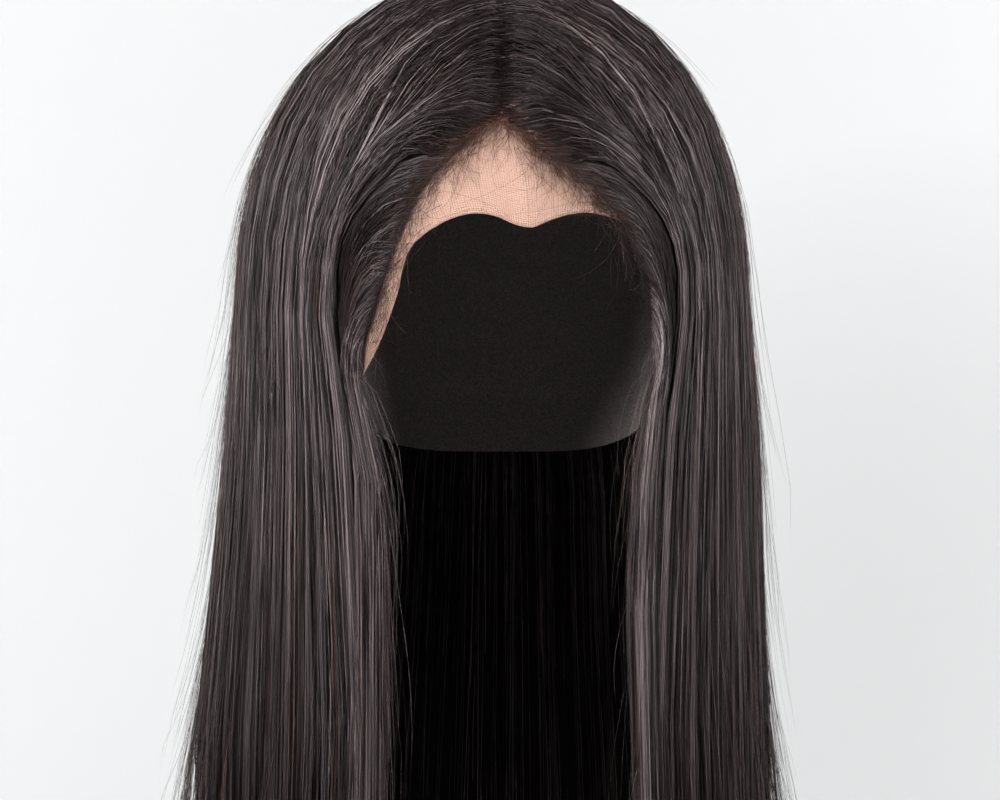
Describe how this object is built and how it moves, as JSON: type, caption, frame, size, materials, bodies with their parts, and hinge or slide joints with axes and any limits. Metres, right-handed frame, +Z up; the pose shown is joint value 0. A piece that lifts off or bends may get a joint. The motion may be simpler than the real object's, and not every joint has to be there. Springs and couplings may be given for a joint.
{
  "type": "lace front wig",
  "caption": "Long straight off-black wig with a centre part, sheer lace front and stretch cap, in its worn form.",
  "frame": {"origin": "highest point inside the cap, where the wig sits on a head", "axes": "+Z up, the face opening toward -Y, +X toward the viewer's right"},
  "size_m": [0.2318, 0.2129, 0.4545],
  "materials": {
    "hair": "satin",
    "lace": "matte",
    "cap": "matte"
  },
  "bodies": {
    "root": {"lace_front": "lace", "wig_cap": "cap", "hair_temple_left": "hair", "hair_temple_right": "hair", "hair_front_left": "hair", "hair_front_right": "hair", "hair_side_left": "hair", "hair_side_right": "hair", "hair_rear_left": "hair", "hair_rear_right": "hair", "hair_back_left": "hair", "hair_back_right": "hair"}
  },
  "joints": []
}
